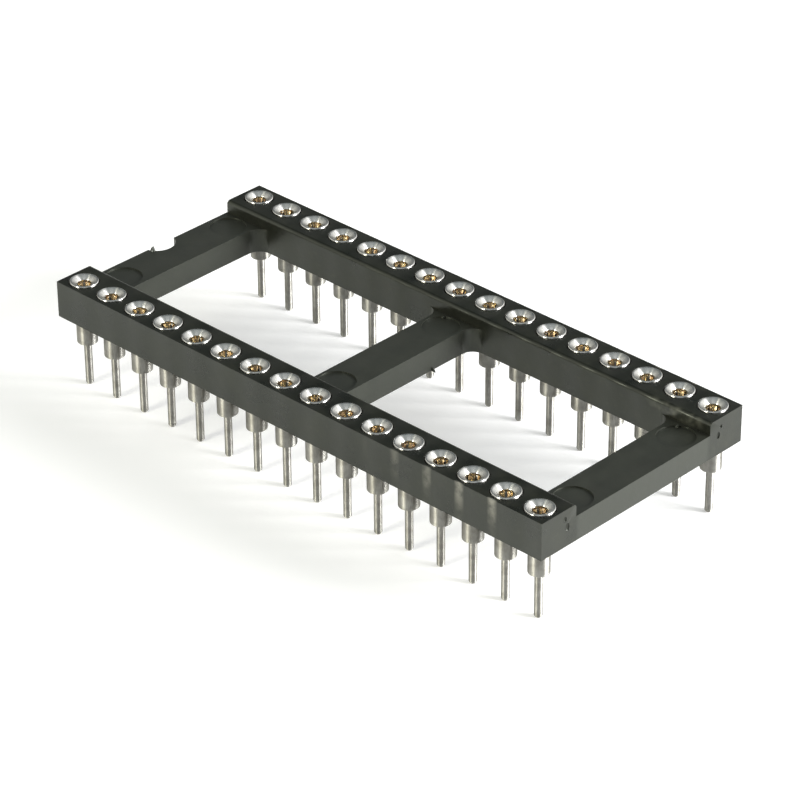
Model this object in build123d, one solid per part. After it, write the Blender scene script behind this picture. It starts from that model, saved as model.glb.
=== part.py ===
from build123d import *
from math import cos, pi, tan
import os

# DIP socket with turned contacts: a moulded open frame that carries two rows of contacts.
# Sizes are in millimetres. Z is zero on the board, where the contacts' shoulders seat,
# X runs along the rows away from the pin 1 notch, and contact 1 stands at the -X, -Y corner.

# Contact pattern
contacts_per_row = 16
pitch = 2.54
row_spacing = 15.24

# Moulded frame: each skin is the plastic left beside the recesses that hold the contacts' heads
frame_standoff = 1.83
rail_height = 2.48
rail_outer_skin = 0.265
rail_inner_skin = 0.775
rail_end_skin = 0.275
rail_edge_radius = 0.25
end_bar_width = 2.90
middle_bar_width = 2.75
bar_height = 1.65
window_corner_radius = 0.90
notch_radius = 1.16
notch_depth = 0.85

# Shallow round marks of the mould's ejector pins, on the bars beside the rails
ejector_mark_radius = 1.20
ejector_mark_depth = 0.10
ejector_mark_margin = 0.15

# Turned contact sleeve
tail_radius = 0.25
tail_length = 3.05
barrel_radius = 0.66
head_radius = 0.915
head_height = 0.45
head_proud = 0.07
mouth_radius = 0.82
mouth_depth = 0.22
bore_radius = 0.46
bore_floor_height = 1.46

# Spring clip pressed into the sleeve's bore: a ring with four fingers that close towards the tip
clip_wall = 0.06
clip_ring_height = 0.20
clip_tip_width = 0.20
clip_tip_gap = 0.30

# Fits: the barrel is pressed in face to face, the head drops into its recess with a gap all round
barrel_fit = 0.0
head_gap = 0.03
clip_fit = 0.0
clip_end_clearance = 0.70

# Round sections that repeat on every contact have this many flats, so that 32 of them stay light
turned_sides = 8

# Heights and places that follow from the sizes above
frame_bottom = frame_standoff
frame_top = frame_bottom + rail_height
bar_top = frame_bottom + bar_height
head_top = frame_top + head_proud
head_underside = head_top - head_height
mouth_bottom = head_top - mouth_depth
recess_radius = head_radius + head_gap
row_length = (contacts_per_row - 1) * pitch
row_y = row_spacing / 2
frame_length = row_length + 2 * (recess_radius + rail_end_skin)
frame_width = row_spacing + 2 * (recess_radius + rail_outer_skin)
rail_inner_y = row_y - recess_radius - rail_inner_skin
end_bar_x = (frame_length - end_bar_width) / 2
window_length = (frame_length - middle_bar_width) / 2 - end_bar_width
window_x = (window_length + middle_bar_width) / 2


def contact_places():
    """Contact number and place: one row along -Y, then back along +Y."""
    near = [(-row_length / 2 + i * pitch, -row_y) for i in range(contacts_per_row)]
    far = [(x, row_y) for x, _ in reversed(near)]
    return list(enumerate(near + far, start=1))


def flat_sided(flat_distance):
    """A turned section seen from above, from its middle to a flat, with a flat towards +X."""
    turn = 180 / turned_sides
    return RegularPolygon(flat_distance, turned_sides, major_radius=False, rotation=turn)


def turned(radius, bottom, top):
    """A straight turned length between two heights; the radius reaches its corners."""
    section = flat_sided(radius * cos(pi / turned_sides))
    return Pos(0, 0, bottom) * extrude(section, top - bottom)


def socket_frame():
    outline = Rectangle(frame_length, frame_width)
    window = RectangleRounded(window_length, 2 * rail_inner_y, window_corner_radius)
    for side in (-1, 1):
        outline -= Pos(side * window_x, 0) * window
    outline -= Pos(notch_depth - notch_radius - frame_length / 2, 0) * Circle(notch_radius)
    frame = Pos(0, 0, frame_bottom) * extrude(outline, rail_height)

    above_bars = extrude(Rectangle(frame_length, 2 * rail_inner_y), rail_height - bar_height)
    frame -= Pos(0, 0, bar_top) * above_bars
    inner_top_edges = (
        frame.edges()
        .filter_by(Axis.X)
        .filter_by_position(Axis.Z, bar_top, frame_top, inclusive=(False, True))
        .filter_by_position(Axis.Y, -row_y, row_y)
    )
    frame = fillet(inner_top_edges, rail_edge_radius)
    frame -= ejector_marks()

    hole = turned(barrel_radius + barrel_fit, frame_bottom, frame_top)
    recess = turned(recess_radius, head_underside, frame_top)
    for _, (x, y) in contact_places():
        frame -= Pos(x, y) * (hole + recess)
    return frame


def ejector_marks():
    mark = turned(ejector_mark_radius, bar_top - ejector_mark_depth, bar_top)
    mark_y = rail_inner_y - ejector_mark_margin - ejector_mark_radius
    return [Pos(x, y) * mark for x in (-end_bar_x, 0, end_bar_x) for y in (-mark_y, mark_y)]


def contact_sleeve():
    tail = Cylinder(tail_radius, tail_length, align=(Align.CENTER, Align.CENTER, Align.MAX))
    barrel = turned(barrel_radius, 0, head_underside)
    head = turned(head_radius, head_underside, head_top)
    bore = turned(bore_radius, bore_floor_height, head_top)
    sleeve = tail + barrel + head - bore

    top_face = sleeve.faces().sort_by(Axis.Z)[-1]
    bore_edges = top_face.inner_wires()[0].edges()
    mouth_width = (mouth_radius - bore_radius) * cos(pi / turned_sides)
    return chamfer(bore_edges, mouth_width, mouth_depth, reference=top_face)


def contact_clip():
    outer_flat = bore_radius * cos(pi / turned_sides) - clip_fit
    inner_flat = outer_flat - clip_wall
    ring_bottom = mouth_bottom - clip_ring_height
    tip_bottom = bore_floor_height + clip_end_clearance
    tip_inner = clip_tip_gap / 2
    tip_outer = tip_inner + clip_wall

    ring = flat_sided(outer_flat) - flat_sided(inner_flat)
    clip = Pos(0, 0, ring_bottom) * extrude(ring, clip_ring_height)

    side_view = Plane.XZ * Polygon(
        (inner_flat, ring_bottom),
        (outer_flat, ring_bottom),
        (tip_outer, tip_bottom),
        (tip_inner, tip_bottom),
        align=None,
    )
    root_half = inner_flat * tan(pi / turned_sides)
    tip_half = clip_tip_width / 2
    front_view = Plane.YZ * Polygon(
        (-tip_half, tip_bottom),
        (tip_half, tip_bottom),
        (root_half, ring_bottom),
        (-root_half, ring_bottom),
        align=None,
    )
    finger = extrude(side_view, root_half, both=True) & extrude(front_view, outer_flat)
    for turn in range(0, 360, 90):
        clip += Rot(0, 0, turn) * finger
    return clip


os.makedirs("parts", exist_ok=True)
export_step(socket_frame(), "parts/socket_frame.step")

sleeve = contact_sleeve()
clip = contact_clip()
clips = {number: Pos(x, y) * clip for number, (x, y) in contact_places()}
contact_count = 2 * contacts_per_row
for number, (x, y) in contact_places():
    export_step(Pos(x, y) * sleeve, f"parts/contact_sleeve_{number:02d}.step")

# The clips of two contacts that face each other across the rows share a file
for number in range(1, contacts_per_row + 1):
    opposite = contact_count + 1 - number
    pair = Compound(children=[clips[number], clips[opposite]])
    export_step(pair, f"parts/contact_clips_{number:02d}_{opposite:02d}.step")
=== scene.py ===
import math
import random

import bmesh
import bpy
from mathutils import Matrix, Vector


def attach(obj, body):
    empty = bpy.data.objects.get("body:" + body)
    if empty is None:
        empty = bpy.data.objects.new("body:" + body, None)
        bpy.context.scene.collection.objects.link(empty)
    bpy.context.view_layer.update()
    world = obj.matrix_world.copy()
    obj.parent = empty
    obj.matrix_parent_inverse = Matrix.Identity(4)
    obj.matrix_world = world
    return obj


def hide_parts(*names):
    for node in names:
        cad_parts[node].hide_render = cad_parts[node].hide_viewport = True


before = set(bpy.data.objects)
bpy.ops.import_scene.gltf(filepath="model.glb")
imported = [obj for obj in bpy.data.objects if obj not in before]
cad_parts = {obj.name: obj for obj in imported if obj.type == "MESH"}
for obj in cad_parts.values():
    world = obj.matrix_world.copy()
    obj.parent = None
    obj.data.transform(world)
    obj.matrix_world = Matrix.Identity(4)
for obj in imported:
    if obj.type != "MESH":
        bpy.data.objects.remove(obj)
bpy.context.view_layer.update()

# DIP socket with turned contacts. Piece sizes are in millimetres and are
# scaled to metres when a piece is finished. Z is zero on the board's top.
mm = 0.001
pitch = 2.54
rowY = 7.62
contactsPerRow = 16
contactCount = 2 * contactsPerRow

# how close two places are when they count as one, and when they are merged
near = 0.001
mergeWithin = 0.0005
# edges over this many degrees are kept sharp
sharpAngle = 30


def contactPlace(number):
    # contact 1 stands at -X -Y, the numbers run along -Y and back along +Y
    middle = (contactsPerRow - 1) / 2
    if number <= contactsPerRow:
        return Vector(((number - 1 - middle) * pitch, -rowY, 0))
    return Vector(((contactCount - number - middle) * pitch, rowY, 0))


# fitted to the contacts' heads in the photograph: degrees, millimetres and pixels
cameraSizes = {
    "azimuth": 43.92,
    "elevation": 31.06,
    "roll": -0.37,
    "distance": 219.0,
    "aside": 0.65,
    "above": -3.61,
    "aimHeight": 4.38,
    "focalPixels": 3620.1,
    "picturePixels": 800,
    "sensorWidth": 36.0,
    "nearest": 10.0,
    "farthest": 5000.0,
}


def makeCamera():
    c = cameraSizes
    azimuth = math.radians(c["azimuth"])
    elevation = math.radians(c["elevation"])
    roll = math.radians(c["roll"])
    back = Vector((
        math.sin(azimuth) * math.cos(elevation),
        -math.cos(azimuth) * math.cos(elevation),
        math.sin(elevation),
    ))
    level = Vector((math.cos(azimuth), math.sin(azimuth), 0))
    upright = back.cross(level)
    right = math.cos(roll) * level + math.sin(roll) * upright
    up = math.cos(roll) * upright - math.sin(roll) * level
    place = c["aside"] * right + c["above"] * up + c["distance"] * back
    place.z += c["aimHeight"]

    lens = bpy.data.cameras.new("photoCamera")
    lens.sensor_width = c["sensorWidth"]
    lens.lens = c["focalPixels"] / c["picturePixels"] * c["sensorWidth"]
    lens.clip_start = c["nearest"] * mm
    lens.clip_end = c["farthest"] * mm
    camera = bpy.data.objects.new("photoCamera", lens)
    turn = Matrix((right, up, back)).transposed().to_4x4()
    camera.matrix_world = Matrix.Translation(place * mm) @ turn
    bpy.context.collection.objects.link(camera)
    bpy.context.scene.camera = camera


makeCamera()
print("camera set")


def newMaterial(name):
    material = bpy.data.materials.new(name)
    material.use_nodes = True
    tree = material.node_tree
    return material, tree, tree.nodes["Principled BSDF"]


def addNode(tree, kind, inputs=None, **settings):
    node = tree.nodes.new(kind)
    for key, value in settings.items():
        setattr(node, key, value)
    for key, value in (inputs or {}).items():
        if isinstance(value, bpy.types.NodeSocket):
            tree.links.new(value, node.inputs[key])
        else:
            node.inputs[key].default_value = value
    return node


def calculate(tree, operation, *values):
    return addNode(tree, "ShaderNodeMath", dict(enumerate(values)), operation=operation).outputs[0]


def add(tree, first, second):
    return calculate(tree, "ADD", first, second)


def multiply(tree, first, second):
    return calculate(tree, "MULTIPLY", first, second)


def objectPlace(tree):
    return addNode(tree, "ShaderNodeTexCoord").outputs["Object"]


def axesOf(tree, vector):
    return addNode(tree, "ShaderNodeSeparateXYZ", {"Vector": vector}).outputs


def noiseAt(tree, place, width, detail, roughness):
    # width is that of one blotch, in millimetres
    return addNode(tree, "ShaderNodeTexNoise", {
        "Vector": place, "Scale": 1 / (width * mm), "Detail": detail, "Roughness": roughness,
    }).outputs["Fac"]


def ramp(tree, factor, low, high, start=0.3, end=0.7):
    # start and end suit a noise when they aren't given
    node = addNode(tree, "ShaderNodeMapRange", {
        "Value": factor, "From Min": start, "From Max": end, "To Min": low, "To Max": high,
    })
    return node.outputs["Result"]


def rampAlong(tree, length, low, high, start, end):
    # start and end are places in millimetres
    return ramp(tree, length, low, high, start * mm, end * mm)


def fade(tree, factor, axes, spans):
    # a span is an axis, two levels, and the two places in millimetres where it has them
    for axis, low, high, start, end in spans:
        factor = multiply(tree, factor, rampAlong(tree, axes[axis], low, high, start, end))
    return factor


def blend(tree, factor, first, second):
    # a Mix node has its colours at inputs 6 and 7 and at output 2
    node = addNode(tree, "ShaderNodeMix", data_type="RGBA")
    tree.links.new(factor, node.inputs[0])
    for index, value in ((6, first), (7, second)):
        if isinstance(value, bpy.types.NodeSocket):
            tree.links.new(value, node.inputs[index])
        else:
            node.inputs[index].default_value = (*value, 1)
    return node.outputs[2]


def bump(tree, height, depth, normal=None):
    inputs = {"Height": height, "Distance": depth * mm, "Strength": 1}
    if normal:
        inputs["Normal"] = normal
    return addNode(tree, "ShaderNodeBump", inputs).outputs["Normal"]


# a noise is the width of its blotches in millimetres, its detail and its roughness
plasticLook = {
    "dark": (0.0030, 0.0034, 0.0018),
    "pale": (0.0080, 0.0086, 0.0044),
    "blotchNoise": (1.6, 4, 0.55),
    "chalk": (0.034, 0.034, 0.020),
    "chalkNoise": (0.55, 5, 0.70),
    "chalkLevels": (0.56, 0.80),
    "chalkShare": 0.45,
    "barGrey": (0.029, 0.031, 0.025),
    "barShare": 0.60,
    "barRough": 0.08,
    "barEdge": (5.60, 5.95),
    # a pale sheen painted over the sink marks on the outer skins near the +X end
    "sinkSheen": (0.205, 0.197, 0.168),
    "sinkSheenNoise": (0.6, 4, 0.55),
    "sinkSheenLevels": (0.38, 0.60),
    "sinkSheenLeast": 0.25,
    "sinkSheenWaves": (-1.0, -0.55),
    "sinkSheenSkin": (8.70, 8.80),
    "sinkSheenSpans": (("X", 0, 1, 6.0, 14.0), ("X", 1, 0, 17.2, 18.6), ("Z", 0.1, 1, 2.4, 3.9)),
    # a pale reflection painted on the far rail's inner edge beside the +X end
    "railReflection": (0.085, 0.085, 0.066),
    "railReflectionNoise": (0.6, 2, 0.50),
    "railReflectionLevels": (0.42, 0.72),
    "railReflectionSpans": (
        ("X", 0, 1, 15.0, 17.0),
        ("X", 1, 0, 19.2, 19.8),
        ("Y", 0, 1, 5.80, 5.88),
        ("Y", 1, 0, 5.95, 6.20),
        ("Z", 0, 1, 3.55, 3.75),
    ),
    "roughLow": 0.25,
    "roughHigh": 0.38,
    "refraction": 1.58,
    "gleam": (0.95, 1.0, 0.90, 1),
    "grainNoise": (0.11, 2, 0.60),
    "grainDepth": 0.004,
    "waveNoise": (2.4, 2, 0.55),
    "waveDepth": 0.03,
    "sinkDepth": 0.035,
    "sinkLeast": 0.25,
    "sinkReach": (-20.0, 14.0),
}


def paintedSinkSheen(tree, place, axes, contactWaves):
    # painted sheen: the thin outer skins are painted pale over the sink marks at the last contacts
    # before the +X end, standing in for the light that those sink marks catch
    look = plasticLook
    marks = ramp(tree, contactWaves, 1, 0, *look["sinkSheenWaves"])
    outside = rampAlong(tree, calculate(tree, "ABSOLUTE", axes["Y"]), 0, 1, *look["sinkSheenSkin"])
    marks = fade(tree, multiply(tree, marks, outside), axes, look["sinkSheenSpans"])
    uneven = noiseAt(tree, place, *look["sinkSheenNoise"])
    return multiply(tree, marks, ramp(tree, uneven, look["sinkSheenLeast"], 1, *look["sinkSheenLevels"]))


def paintedRailReflection(tree, place, axes):
    # painted reflection: the far rail's inner edge beside the +X end is painted with pale mottled
    # patches, a reflection of the contacts and the pale floor put into its colour
    look = plasticLook
    uneven = noiseAt(tree, place, *look["railReflectionNoise"])
    return fade(tree, ramp(tree, uneven, 0, 1, *look["railReflectionLevels"]), axes, look["railReflectionSpans"])


def makePlastic():
    look = plasticLook
    material, tree, shader = newMaterial("mouldedPlastic")
    place = objectPlace(tree)
    axes = axesOf(tree, place)
    # lowest at every contact
    contactWaves = calculate(tree, "COSINE", multiply(tree, axes["X"], math.tau / (pitch * mm)))
    # the mould left the bars between the rails a little rougher and greyer
    onBars = rampAlong(tree, calculate(tree, "ABSOLUTE", axes["Y"]), 1, 0, *look["barEdge"])

    blotches = noiseAt(tree, place, *look["blotchNoise"])
    colour = blend(tree, ramp(tree, blotches, 0, 1), look["dark"], look["pale"])
    chalky = noiseAt(tree, place, *look["chalkNoise"])
    chalky = ramp(tree, chalky, 0, look["chalkShare"], *look["chalkLevels"])
    colour = blend(tree, chalky, colour, look["chalk"])
    colour = blend(tree, multiply(tree, onBars, look["barShare"]), colour, look["barGrey"])
    # painted sheen: pale patches over the sink marks on the outer skins
    colour = blend(tree, paintedSinkSheen(tree, place, axes, contactWaves), colour, look["sinkSheen"])
    # painted reflection: pale patches on the far rail's inner edge beside the +X end
    colour = blend(tree, paintedRailReflection(tree, place, axes), colour, look["railReflection"])
    tree.links.new(colour, shader.inputs["Base Color"])

    roughness = ramp(tree, blotches, look["roughLow"], look["roughHigh"])
    roughness = add(tree, roughness, multiply(tree, onBars, look["barRough"]))
    tree.links.new(roughness, shader.inputs["Roughness"])
    shader.inputs["IOR"].default_value = look["refraction"]
    shader.inputs["Specular Tint"].default_value = look["gleam"]

    # the plastic sinks a little over every contact, most beside the +X end
    sinking = rampAlong(tree, axes["X"], look["sinkLeast"], 1, *look["sinkReach"])
    normal = bump(tree, multiply(tree, contactWaves, sinking), look["sinkDepth"])
    normal = bump(tree, noiseAt(tree, place, *look["waveNoise"]), look["waveDepth"], normal)
    normal = bump(tree, noiseAt(tree, place, *look["grainNoise"]), look["grainDepth"], normal)
    tree.links.new(normal, shader.inputs["Normal"])
    return material


tinLook = {
    "bright": (0.46, 0.452, 0.42),
    "dull": (0.28, 0.27, 0.232),
    "dullShare": 0.75,
    "dullLevels": (0.42, 0.75),
    "patchNoise": (0.7, 4, 0.60),
    "head": (0.88, 0.87, 0.84),
    "headShare": 0.80,
    "headEdge": (3.88, 3.94),
    "edge": (0.45, 0.45, 0.43, 1),
    "roughTail": 0.60,
    "roughHead": 0.27,
    "roughPatch": 0.12,
    "stretch": 0.95,
    "stretchTurn": 0.25,
    "turningNoise": (0.045, 3, 0.60),
    "turningDepth": 0.0016,
    "turningShift": 0.01,
    "dentNoise": (0.30, 3, 0.50),
    "dentDepth": 0.010,
}


def besideContact(tree, axes):
    # X and Y from the contact's own axis, halfway between two whole pitches, and which two
    pitches = calculate(tree, "DIVIDE", axes["X"], pitch * mm)
    besideX = calculate(tree, "SUBTRACT", calculate(tree, "FRACT", pitches), 0.5)
    besideX = multiply(tree, besideX, pitch * mm)
    ownRowY = multiply(tree, calculate(tree, "SIGN", axes["Y"]), rowY * mm)
    besideY = calculate(tree, "SUBTRACT", axes["Y"], ownRowY)
    return besideX, besideY, calculate(tree, "FLOOR", pitches)


def makeTin():
    look = tinLook
    material, tree, shader = newMaterial("brightTin")
    place = objectPlace(tree)
    axes = axesOf(tree, place)
    besideX, besideY, ownPitch = besideContact(tree, axes)

    patches = noiseAt(tree, place, *look["patchNoise"])
    dulled = ramp(tree, patches, 0, look["dullShare"], *look["dullLevels"])
    colour = blend(tree, dulled, look["bright"], look["dull"])
    # the tail and barrel are left as turned, the head is finished brighter and smoother
    onHead = rampAlong(tree, axes["Z"], 0, 1, *look["headEdge"])
    colour = blend(tree, multiply(tree, onHead, look["headShare"]), colour, look["head"])
    tree.links.new(colour, shader.inputs["Base Color"])
    shader.inputs["Metallic"].default_value = 1
    shader.inputs["Specular Tint"].default_value = look["edge"]
    roughness = ramp(tree, onHead, look["roughTail"], look["roughHead"], 0, 1)
    unevenness = ramp(tree, patches, -look["roughPatch"] / 2, look["roughPatch"] / 2)
    tree.links.new(add(tree, roughness, unevenness), shader.inputs["Roughness"])

    # the marks of turning are rings about the contact's own axis, over a few shallow dents
    square = add(tree, multiply(tree, besideX, besideX), multiply(tree, besideY, besideY))
    rings = addNode(tree, "ShaderNodeCombineXYZ", {
        "X": calculate(tree, "SQRT", square),
        "Y": axes["Z"],
        "Z": multiply(tree, ownPitch, look["turningShift"]),
    }).outputs["Vector"]
    normal = bump(tree, noiseAt(tree, place, *look["dentNoise"]), look["dentDepth"])
    normal = bump(tree, noiseAt(tree, rings, *look["turningNoise"]), look["turningDepth"], normal)
    tree.links.new(normal, shader.inputs["Normal"])

    # a highlight spreads across the marks, which run round the contact
    around = addNode(tree, "ShaderNodeCombineXYZ", {
        "X": multiply(tree, besideY, -1 / mm),
        "Y": multiply(tree, besideX, 1 / mm),
    }).outputs["Vector"]
    tree.links.new(around, shader.inputs["Tangent"])
    shader.inputs["Anisotropic"].default_value = look["stretch"]
    shader.inputs["Anisotropic Rotation"].default_value = look["stretchTurn"]
    return material


goldLook = {
    "bright": (0.74, 0.66, 0.46),
    "deep": (0.40, 0.28, 0.20),
    "deepLevels": (0.35, 0.70),
    "patchNoise": (0.35, 3, 0.55),
    "roughLow": 0.20,
    "roughHigh": 0.36,
    "grainNoise": (0.05, 2, 0.55),
    "grainDepth": 0.002,
}


def makeGold():
    look = goldLook
    material, tree, shader = newMaterial("goldPlate")
    place = objectPlace(tree)
    patches = noiseAt(tree, place, *look["patchNoise"])
    colour = blend(tree, ramp(tree, patches, 0, 1, *look["deepLevels"]), look["bright"], look["deep"])
    tree.links.new(colour, shader.inputs["Base Color"])
    shader.inputs["Metallic"].default_value = 1
    tree.links.new(ramp(tree, patches, look["roughLow"], look["roughHigh"]), shader.inputs["Roughness"])
    grain = noiseAt(tree, place, *look["grainNoise"])
    tree.links.new(bump(tree, grain, look["grainDepth"]), shader.inputs["Normal"])
    return material


plastic = makePlastic()
tin = makeTin()
gold = makeGold()
print("materials made")


def closeShape(shape):
    bmesh.ops.remove_doubles(shape, verts=shape.verts, dist=mergeWithin)
    bmesh.ops.recalc_face_normals(shape, faces=shape.faces)


def spinProfile(profile, steps):
    # profile is a list of (radius, height) from the axis round to the axis
    shape = bmesh.new()
    corners = [shape.verts.new((radius, 0, height)) for radius, height in profile]
    sides = [shape.edges.new(pair) for pair in zip(corners, corners[1:])]
    bmesh.ops.spin(shape, geom=corners + sides, cent=(0, 0, 0), axis=(0, 0, 1),
                   dvec=(0, 0, 0), angle=math.tau, steps=steps, use_merge=True)
    closeShape(shape)
    return shape


def bevelEdges(shape, edges, width, segments):
    bmesh.ops.bevel(shape, geom=edges, offset=width, offset_type="OFFSET", affect="EDGES",
                    segments=segments, profile=0.5, material=-1, clamp_overlap=True)


def sharpEdges(shape, degrees=sharpAngle):
    limit = math.radians(degrees)
    return [e for e in shape.edges if len(e.link_faces) == 2 and e.calc_face_angle(0) > limit]


def sharpEdgesWhere(shape, inPlace):
    return [e for e in sharpEdges(shape) if all(inPlace(v.co) for v in e.verts)]


def sharpRing(shape, radius, height):
    return sharpEdgesWhere(shape, lambda at: abs(at.z - height) < near and at.xy.length > radius - near)


def moveShape(shape, place, turn=None):
    if turn:
        bmesh.ops.rotate(shape, cent=(0, 0, 0), matrix=turn, verts=shape.verts)
    bmesh.ops.translate(shape, vec=place, verts=shape.verts)
    return shape


def finishPiece(name, shape, material, nodes):
    # takes a shape in millimetres, and leaves its object at the origin in metres
    bmesh.ops.scale(shape, vec=(mm, mm, mm), verts=shape.verts)
    mesh = bpy.data.meshes.new(name)
    shape.to_mesh(mesh)
    shape.free()
    mesh.polygons.foreach_set("use_smooth", [True] * len(mesh.polygons))
    mesh.set_sharp_from_angle(angle=math.radians(sharpAngle))
    mesh.materials.append(material)
    piece = bpy.data.objects.new(name, mesh)
    bpy.context.collection.objects.link(piece)
    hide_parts(*nodes)
    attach(piece, "root")
    return piece


sleeveSizes = {
    "steps": 48,
    "tailRadius": 0.25,
    "tailLength": 3.05,
    "tailPoint": 0.12,
    "tailPointIn": 0.07,
    "barrelRadius": 0.66,
    "barrelRound": 0.07,
    "barrelRoundSteps": 3,
    "headRadius": 0.915,
    "headBottom": 3.93,
    "headTop": 4.38,
    "mouthRadius": 0.82,
    "mouthBottom": 4.16,
    "mouthSteps": 6,
    "mouthBulge": 0.25,
    "boreRadius": 0.46,
    "boreBottom": 1.46,
    "drillPoint": 1.30,
    "rimRound": 0.06,
    "rimRoundSteps": 4,
    "edgeRound": 0.02,
    "edgeRoundSteps": 2,
}


def mouthCurve():
    # the countersink from the flat rim down into the bore, nearly a cone
    s = sleeveSizes
    points = []
    for step in range(s["mouthSteps"] + 1):
        share = step / s["mouthSteps"]
        turn = math.pi / 2 * share
        across = s["mouthBulge"] * math.sin(turn) + (1 - s["mouthBulge"]) * share
        down = s["mouthBulge"] * (1 - math.cos(turn)) + (1 - s["mouthBulge"]) * share
        points.append((s["mouthRadius"] + (s["boreRadius"] - s["mouthRadius"]) * across,
                       s["headTop"] + (s["mouthBottom"] - s["headTop"]) * down))
    return points


def makeSleeveShape():
    s = sleeveSizes
    shape = spinProfile([
        (0, -s["tailLength"]),
        (s["tailRadius"] - s["tailPointIn"], -s["tailLength"]),
        (s["tailRadius"], -s["tailLength"] + s["tailPoint"]),
        (s["tailRadius"], 0),
        (s["barrelRadius"], 0),
        (s["barrelRadius"], s["headBottom"]),
        (s["headRadius"], s["headBottom"]),
        (s["headRadius"], s["headTop"]),
        *mouthCurve(),
        (s["boreRadius"], s["boreBottom"]),
        (0, s["drillPoint"]),
    ], s["steps"])
    bevelEdges(shape, sharpRing(shape, s["barrelRadius"], 0), s["barrelRound"], s["barrelRoundSteps"])
    bevelEdges(shape, sharpRing(shape, s["headRadius"], s["headTop"]), s["rimRound"], s["rimRoundSteps"])
    bevelEdges(shape, sharpEdges(shape), s["edgeRound"], s["edgeRoundSteps"])
    return shape


def makeSleeves():
    template = makeSleeveShape()
    for number in range(1, contactCount + 1):
        shape = moveShape(template.copy(), contactPlace(number))
        finishPiece(f"contactSleeve{number:02d}", shape, tin,
                    [f"contact_sleeve_{number:02d}"])
    template.free()


makeSleeves()
print("contact sleeves turned")


clipSizes = {
    "steps": 48,
    "wall": 0.05,
    "fingers": 4,
    "slotColumns": 3,
    # outer radius and height from the ring's top down to the finger's tip
    "outline": [(0.457, 4.14), (0.457, 4.05), (0.432, 3.95), (0.382, 3.81), (0.335, 3.62),
                (0.295, 3.35), (0.255, 2.88), (0.215, 2.16)],
    "ringRows": 2,
    "tipSqueeze": 0.62,
    "seed": 16,
}


def cutSlots(shape, ringBottom):
    s = clipSizes
    columns = s["steps"] // s["fingers"]
    inSlot = []
    for face in shape.faces:
        middle = face.calc_center_median()
        column = int(math.degrees(math.atan2(middle.y, middle.x)) % 360 / (360 / s["steps"]))
        if middle.z < ringBottom and column % columns < s["slotColumns"]:
            inSlot.append(face)
    bmesh.ops.delete(shape, geom=inSlot, context="FACES")


def narrowFingers(shape, ringBottom):
    # each finger narrows towards its tip, about the line down its middle
    s = clipSizes
    tip = s["outline"][-1][1]
    step = math.tau / s["fingers"]
    first = math.tau / s["steps"] * (s["slotColumns"] + s["steps"] // s["fingers"]) / 2
    for vert in shape.verts:
        if vert.co.z < ringBottom - near:
            angle = math.atan2(vert.co.y, vert.co.x)
            middle = first + round((angle - first) / step) * step
            share = (ringBottom - vert.co.z) / (ringBottom - tip)
            turn = Matrix.Rotation((middle - angle) * (1 - s["tipSqueeze"]) * share, 3, "Z")
            bmesh.ops.rotate(shape, cent=(0, 0, 0), matrix=turn, verts=[vert])


def makeClipShape():
    s = clipSizes
    shape = spinProfile(s["outline"], s["steps"])
    ringBottom = s["outline"][s["ringRows"] - 1][1]
    cutSlots(shape, ringBottom)
    narrowFingers(shape, ringBottom)
    bmesh.ops.recalc_face_normals(shape, faces=shape.faces)
    outwards = sum(f.normal.dot(Vector((*f.calc_center_median().xy, 0))) for f in shape.faces)
    if outwards < 0:
        bmesh.ops.reverse_faces(shape, faces=shape.faces)
    bmesh.ops.solidify(shape, geom=shape.faces, thickness=s["wall"])
    return shape


def joinShapes(shapes):
    whole = bmesh.new()
    for shape in shapes:
        held = bpy.data.meshes.new("held")
        shape.to_mesh(held)
        shape.free()
        whole.from_mesh(held)
        bpy.data.meshes.remove(held)
    return whole


def makeClips():
    # every clip sits in its bore at a turn of its own
    template = makeClipShape()
    chance = random.Random(clipSizes["seed"])
    for number in range(1, contactsPerRow + 1):
        opposite = contactCount + 1 - number
        pair = []
        for contact in (number, opposite):
            turn = Matrix.Rotation(chance.uniform(0, math.tau), 3, "Z")
            pair.append(moveShape(template.copy(), contactPlace(contact), turn))
        finishPiece(f"contactClips{number:02d}and{opposite:02d}", joinShapes(pair), gold,
                    [f"contact_clips_{number:02d}_{opposite:02d}"])
    template.free()


makeClips()
print("spring clips bent")


frameSizes = {
    "length": 40.54,
    "width": 17.66,
    "bottom": 1.83,
    "top": 4.31,
    "barTop": 3.48,
    "barWidth": 2.90,
    "midBarWidth": 2.75,
    "railInnerY": 5.90,
    "railEdgeRound": 0.25,
    "railEdgeSteps": 8,
    "windowCorner": 0.90,
    "windowCornerSteps": 10,
    "notchRadius": 1.16,
    "notchDepth": 0.85,
    "edgeRound": 0.05,
    "edgeRoundSteps": 2,
    "edgeAngle": 40,
    # a hair clear of the contacts, so that no two faces coincide
    "holeSteps": 48,
    "holeRadius": 0.668,
    "holeFlare": 0.05,
    "holeFlareHeight": 0.06,
    "recessRadius": 0.965,
    "recessBottom": 3.925,
    "recessFlare": 0.035,
    "markRadius": 1.20,
    "markDepth": 0.10,
    "markMargin": 0.15,
    "markFlare": 0.008,
    # how far a cutter reaches past the faces that it cuts
    "cutPast": 1.0,
    "holePast": 0.5,
    # faces within this angle, in radians, are one flat face
    "flatWithin": 0.01,
}


def solidBox(low, high):
    shape = bmesh.new()
    bmesh.ops.create_cube(shape, size=1)
    size = Vector(high) - Vector(low)
    bmesh.ops.scale(shape, vec=size, verts=shape.verts)
    return moveShape(shape, (Vector(high) + Vector(low)) / 2)


def heldObject(name, shape):
    mesh = bpy.data.meshes.new(name)
    shape.to_mesh(mesh)
    shape.free()
    held = bpy.data.objects.new(name, mesh)
    bpy.context.collection.objects.link(held)
    return held


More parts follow.
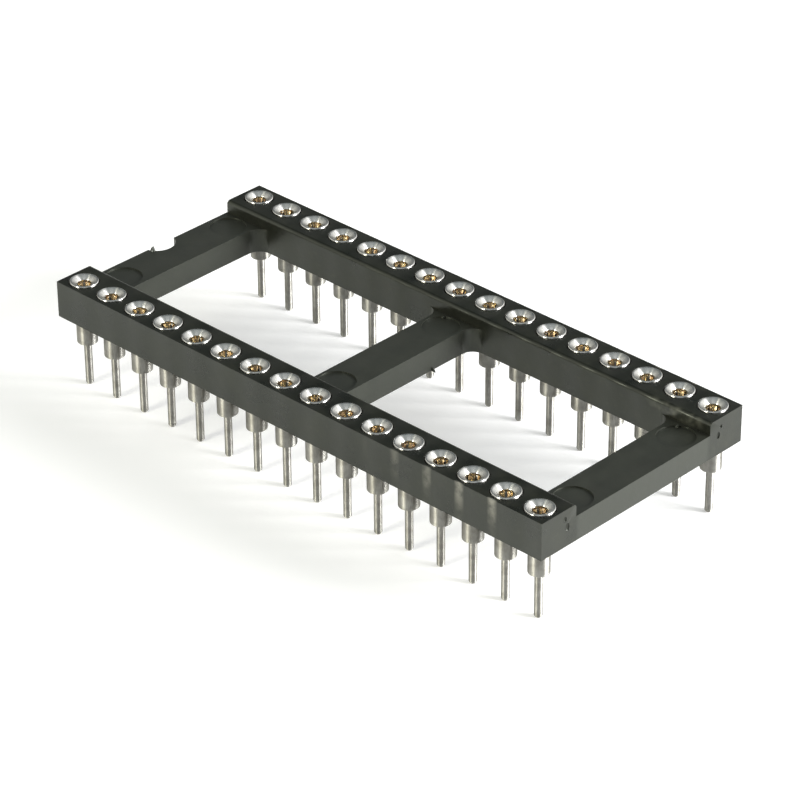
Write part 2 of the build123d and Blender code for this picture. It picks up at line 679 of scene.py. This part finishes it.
def combine(shape, tools, operation="DIFFERENCE"):
    body = heldObject("cutBody", shape)
    tool = heldObject("cutTool", joinShapes(tools))
    cut = body.modifiers.new("cut", "BOOLEAN")
    cut.operation = operation
    cut.solver = "EXACT"
    cut.object = tool
    bpy.context.view_layer.update()
    done = body.evaluated_get(bpy.context.evaluated_depsgraph_get())
    mesh = bpy.data.meshes.new_from_object(done)
    result = bmesh.new()
    result.from_mesh(mesh)
    bpy.data.meshes.remove(mesh)
    for thing in (body, tool):
        mesh = thing.data
        bpy.data.objects.remove(thing)
        bpy.data.meshes.remove(mesh)
    return result


def windowPlug(lowX, highX):
    s = frameSizes
    bottom = s["bottom"] - s["cutPast"]
    top = s["top"] + s["cutPast"]
    shape = solidBox((lowX, -s["railInnerY"], bottom), (highX, s["railInnerY"], top))
    upright = [e for e in shape.edges if abs(e.verts[0].co.z - e.verts[1].co.z) > near]
    bevelEdges(shape, upright, s["windowCorner"], s["windowCornerSteps"])
    return shape


def notchPlug():
    s = frameSizes
    bottom = s["bottom"] - s["cutPast"]
    top = s["top"] + s["cutPast"]
    shape = spinProfile([(0, bottom), (s["notchRadius"], bottom), (s["notchRadius"], top), (0, top)],
                        s["holeSteps"])
    return moveShape(shape, (s["notchDepth"] - s["notchRadius"] - s["length"] / 2, 0, 0))


def makeFrameBody():
    s = frameSizes
    endX = s["length"] / 2
    halfY = s["width"] / 2
    innerY = s["railInnerY"]
    halfMid = s["midBarWidth"] / 2
    shape = solidBox((-endX, -halfY, s["bottom"]), (endX, halfY, s["top"]))
    shape = combine(shape, [solidBox((-endX - s["cutPast"], -innerY, s["barTop"]),
                                     (endX + s["cutPast"], innerY, s["top"] + s["cutPast"]))])
    shape = combine(shape, [
        windowPlug(-endX + s["barWidth"], -halfMid),
        windowPlug(halfMid, endX - s["barWidth"]),
        notchPlug(),
    ])
    bmesh.ops.dissolve_limit(shape, angle_limit=s["flatWithin"], verts=shape.verts, edges=shape.edges)
    railEdges = sharpEdgesWhere(
        shape, lambda at: abs(at.z - s["top"]) < near and abs(abs(at.y) - innerY) < near)
    bevelEdges(shape, railEdges, s["railEdgeRound"], s["railEdgeSteps"])
    bevelEdges(shape, sharpEdges(shape, s["edgeAngle"]), s["edgeRound"], s["edgeRoundSteps"])
    return shape


def contactCutters():
    # a hole for the barrel, flared at the underside, and a recess for the head, flared at the top
    s = frameSizes
    low = s["bottom"] - s["holePast"]
    high = s["top"] + s["holePast"]
    flared = s["recessRadius"] + s["recessFlare"]
    template = spinProfile([
        (0, low),
        (s["holeRadius"] + s["holeFlare"], low),
        (s["holeRadius"] + s["holeFlare"], s["bottom"]),
        (s["holeRadius"], s["bottom"] + s["holeFlareHeight"]),
        (s["holeRadius"], s["recessBottom"]),
        (s["recessRadius"], s["recessBottom"]),
        (s["recessRadius"], s["top"] - s["recessFlare"]),
        (flared, s["top"]),
        (flared, high),
        (0, high),
    ], s["holeSteps"])
    cutters = [moveShape(template.copy(), contactPlace(n)) for n in range(1, contactCount + 1)]
    template.free()
    return cutters


def markCutters():
    # the round ejector marks, one at each end of each bar
    s = frameSizes
    low = s["barTop"] - s["markDepth"]
    high = s["barTop"] + s["holePast"]
    flared = s["markRadius"] + s["markFlare"]
    template = spinProfile([
        (0, low), (s["markRadius"], low), (flared, s["barTop"]), (flared, high), (0, high),
    ], s["holeSteps"])
    barX = (s["length"] - s["barWidth"]) / 2
    markY = s["railInnerY"] - s["markMargin"] - s["markRadius"]
    cutters = [moveShape(template.copy(), (x, y, 0)) for x in (-barX, 0, barX) for y in (-markY, markY)]
    template.free()
    return cutters


stubSizes = {
    "steps": 10,
    "foot": 0.15,
    # shares of the stub's radius and height, from its foot to its tip
    "outline": [(1, 0), (0.55, 0.6), (0.2, 1), (0, 1)],
    "raggedness": 0.22,
    "seed": 5,
}
# burrs that the mould left: where each one stands, which way it points, its radius and height
stubs = {
    "notchWall": ((-19.96, -1.00, 3.40), (-0.20, 0.35, 1.0), 0.17, 0.34),
    "middleBarEdge": ((1.36, 2.35, 1.90), (1.0, 0.0, -0.65), 0.13, 0.28),
    "middleMarkRim": ((-0.65, 5.46, 3.47), (0.3, -0.4, 1.0), 0.11, 0.07),
    "endMarkRim": ((18.17, 5.46, 3.47), (0.3, -0.4, 1.0), 0.14, 0.09),
}


def tornStub(place, direction, radius, height, chance):
    # a short rough cone of plastic, with its foot sunk into the wall behind it
    s = stubSizes
    cone = [(across * radius, up * height) for across, up in s["outline"]]
    shape = spinProfile([(0, -s["foot"]), (radius, -s["foot"]), *cone], s["steps"])
    for vert in shape.verts:
        if vert.co.z > -near:
            vert.co += s["raggedness"] * radius * Vector([chance.uniform(-1, 1) for _ in range(3)])
    return moveShape(shape, place, Vector(direction).to_track_quat("Z", "Y").to_matrix())


def makeStubs():
    chance = random.Random(stubSizes["seed"])
    return [tornStub(*stub, chance) for stub in stubs.values()]


pitSizes = {
    "segments": 16,
    "rings": 10,
    "raggedness": (0.88, 1.08),
    "seed": 9,
}
# pits torn into the +X end of the rails: middle, then half their depth, width and height
pits = {
    "nearUpper": ((20.27, -6.86, 3.70), (0.10, 0.15, 0.20)),
    "nearLower": ((20.27, -6.64, 3.10), (0.11, 0.17, 0.30)),
    "farUpper": ((20.27, 6.88, 3.70), (0.09, 0.12, 0.13)),
    "farLower": ((20.27, 6.67, 3.16), (0.11, 0.14, 0.27)),
}


def pitCutters():
    s = pitSizes
    chance = random.Random(s["seed"])
    cutters = []
    for place, halves in pits.values():
        shape = bmesh.new()
        bmesh.ops.create_uvsphere(shape, u_segments=s["segments"], v_segments=s["rings"], radius=1)
        for vert in shape.verts:
            vert.co *= chance.uniform(*s["raggedness"])
        bmesh.ops.scale(shape, vec=halves, verts=shape.verts)
        cutters.append(moveShape(shape, place))
    return cutters


def makeFrame():
    cutters = contactCutters() + markCutters() + pitCutters()
    shape = combine(combine(makeFrameBody(), cutters), makeStubs(), "UNION")
    piece = finishPiece("mouldedFrame", shape, plastic, ["socket_frame"])
    even = piece.modifiers.new("evenShading", "WEIGHTED_NORMAL")
    even.keep_sharp = True


makeFrame()
print("frame moulded")


stageSizes = {
    "floorHeight": -3.06,
    "floorHalf": 900.0,
    "floorColour": (0.80, 0.80, 0.80, 1),
    "floorRough": 0.9,
    "floorGlow": 0.32,
    # X and Y of the ways towards the right wall and towards the dark corner
    "rightWay": (0.72, 0.69),
    "cornerWay": (0.69, -0.72),
    # each colour of the sky, and between which two levels it comes in
    "horizon": (0.50, 0.495, 0.48),
    "upper": (0.10, 0.12, 0.13),
    "upperLevels": (0.12, 0.50),
    "rightWall": (1.70, 1.70, 1.67),
    "rightLevels": (0.15, 0.80),
    "leftWall": (0.95, 0.94, 0.86),
    "leftLevels": (-0.80, -0.40),
    "darkCorner": (0.02, 0.02, 0.02),
    "cornerLevels": (0.45, 0.70),
    "zenith": (0.40, 0.43, 0.43),
    "zenithLean": 0.42,
    "zenithLevels": (0.70, 0.86),
}


def makeFloor():
    s = stageSizes
    shape = bmesh.new()
    bmesh.ops.create_grid(shape, x_segments=1, y_segments=1, size=s["floorHalf"] * mm)
    floor = heldObject("paleFloor", moveShape(shape, (0, 0, s["floorHeight"] * mm)))
    material, tree, shader = newMaterial("paleFloor")
    shader.inputs["Base Color"].default_value = s["floorColour"]
    shader.inputs["Roughness"].default_value = s["floorRough"]
    shader.inputs["Specular IOR Level"].default_value = 0
    shader.inputs["Emission Color"].default_value = (1, 1, 1, 1)
    # the glow whitens what the camera, mirrors and glass see, and the floor keeps its shadow
    path = addNode(tree, "ShaderNodeLightPath").outputs
    seen = calculate(tree, "MAXIMUM", path["Is Camera Ray"], path["Is Glossy Ray"])
    seen = calculate(tree, "MAXIMUM", seen, path["Is Transmission Ray"])
    tree.links.new(multiply(tree, seen, s["floorGlow"]), shader.inputs["Emission Strength"])
    floor.data.materials.append(material)


def alongWay(tree, axes, way):
    return add(tree, multiply(tree, axes["X"], way[0]), multiply(tree, axes["Y"], way[1]))


def makeWorld():
    # bright walls on both sides, a dark one at the +X -Y corner, a soft box overhead
    s = stageSizes
    world = bpy.data.worlds.new("studio")
    world.use_nodes = True
    tree = world.node_tree
    axes = axesOf(tree, addNode(tree, "ShaderNodeTexCoord").outputs["Generated"])
    rightwards = alongWay(tree, axes, s["rightWay"])
    cornerwards = alongWay(tree, axes, s["cornerWay"])
    # the overhead box leans towards the dark corner
    leaning = add(tree, axes["Z"], multiply(tree, cornerwards, s["zenithLean"]))
    colour = blend(tree, ramp(tree, axes["Z"], 0, 1, *s["upperLevels"]), s["horizon"], s["upper"])
    colour = blend(tree, ramp(tree, rightwards, 0, 1, *s["rightLevels"]), colour, s["rightWall"])
    colour = blend(tree, ramp(tree, rightwards, 1, 0, *s["leftLevels"]), colour, s["leftWall"])
    colour = blend(tree, ramp(tree, cornerwards, 0, 1, *s["cornerLevels"]), colour, s["darkCorner"])
    colour = blend(tree, ramp(tree, leaning, 0, 1, *s["zenithLevels"]), colour, s["zenith"])
    tree.links.new(colour, tree.nodes["Background"].inputs["Color"])
    tree.nodes["Background"].inputs["Strength"].default_value = 1
    bpy.context.scene.world = world


lamps = {
    # name: direction towards the lamp, distance in mm, side in mm, power in watts, colour
    "keyRight": ((0.86, 0.46, 0.34), 280, 120, 1.30, (1.0, 1.0, 1.0)),
    "overhead": ((0.36, -0.38, 0.85), 320, 160, 0.04, (1.0, 1.0, 1.0)),
    "fillFront": ((-0.15, -0.92, 0.36), 320, 90, 0.64, (1.0, 0.98, 0.84)),
}


def makeLamps():
    for name, (direction, distance, side, power, colour) in lamps.items():
        light = bpy.data.lights.new(name, "AREA")
        light.shape = "SQUARE"
        light.size = side * mm
        light.energy = power
        light.color = colour
        lamp = bpy.data.objects.new(name, light)
        towards = Vector(direction).normalized()
        lamp.location = towards * distance * mm
        lamp.rotation_euler = towards.to_track_quat("Z", "Y").to_euler()
        bpy.context.collection.objects.link(lamp)


makeFloor()
makeWorld()
makeLamps()
bpy.context.scene.view_settings.view_transform = "Standard"
print("studio lit")
